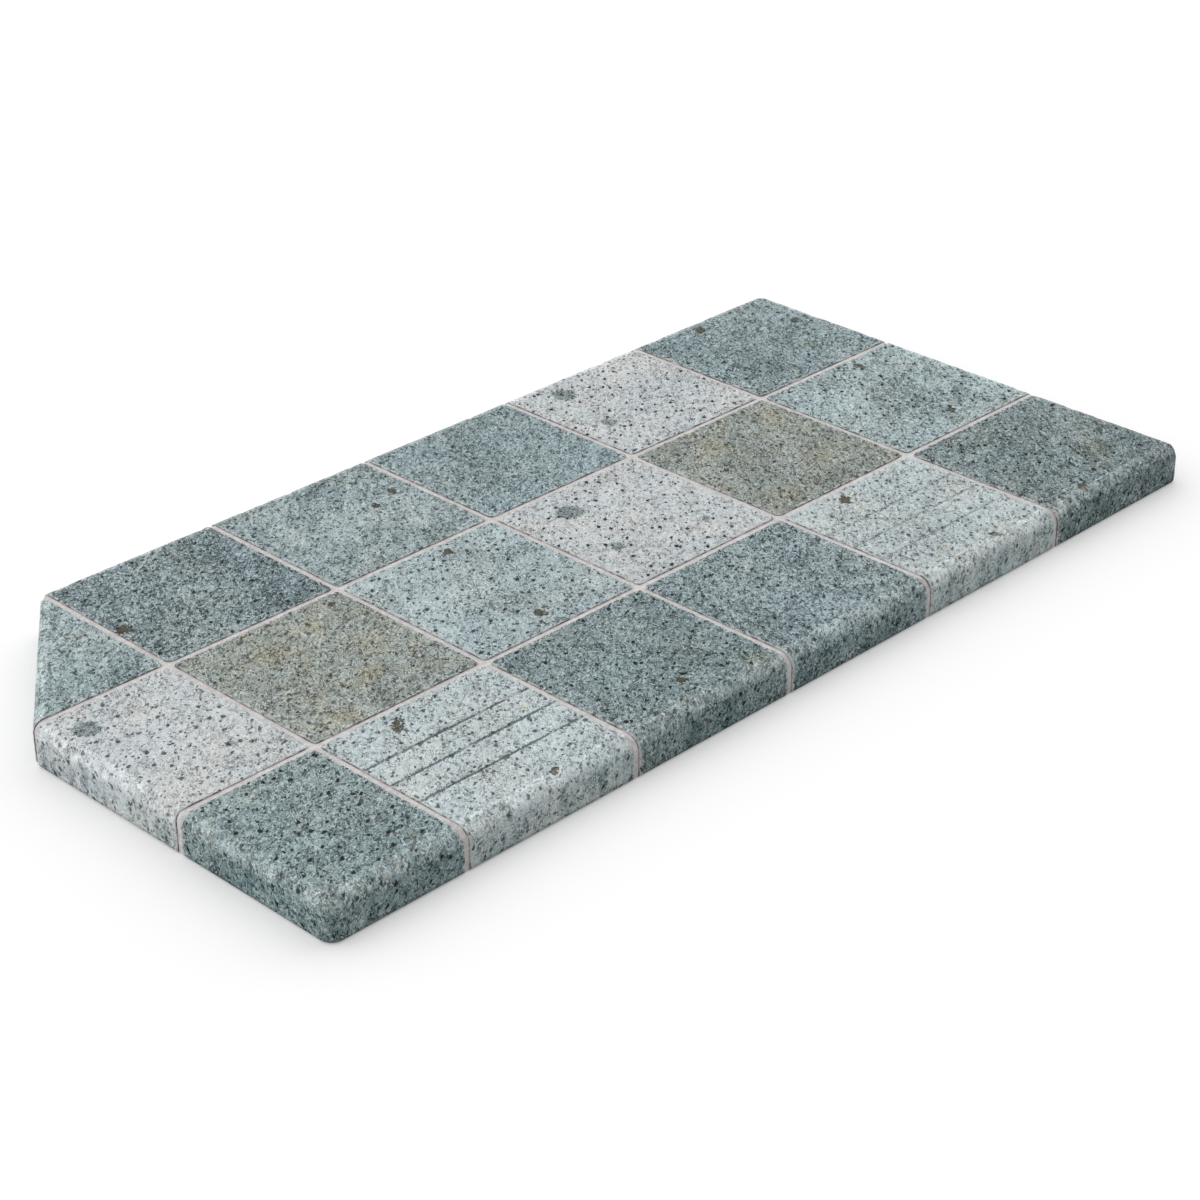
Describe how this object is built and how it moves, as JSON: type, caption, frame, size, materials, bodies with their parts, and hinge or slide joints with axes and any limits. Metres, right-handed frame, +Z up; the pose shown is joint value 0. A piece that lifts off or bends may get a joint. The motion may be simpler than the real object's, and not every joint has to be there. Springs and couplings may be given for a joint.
{
  "type": "porcelain stair tread",
  "caption": "Flat porcelain stair tread with rounded top edges, one cut rear corner and square stone-look fields parted by grouted grooves that run down the edges.",
  "frame": {"origin": "middle of the bounding rectangle of the underside", "axes": "+X along the tread towards its uncut end, +Y from the nosing to the riser side, +Z up"},
  "size_m": [0.6, 0.3, 0.021],
  "materials": {
    "porcelain": "matt flecked grey-green stone look, some fields lighter or olive",
    "grout": "pale warm grey cement grout, matt"
  },
  "bodies": {
    "root": {"tread_body": "porcelain", "joint_grout": "grout"}
  },
  "joints": []
}
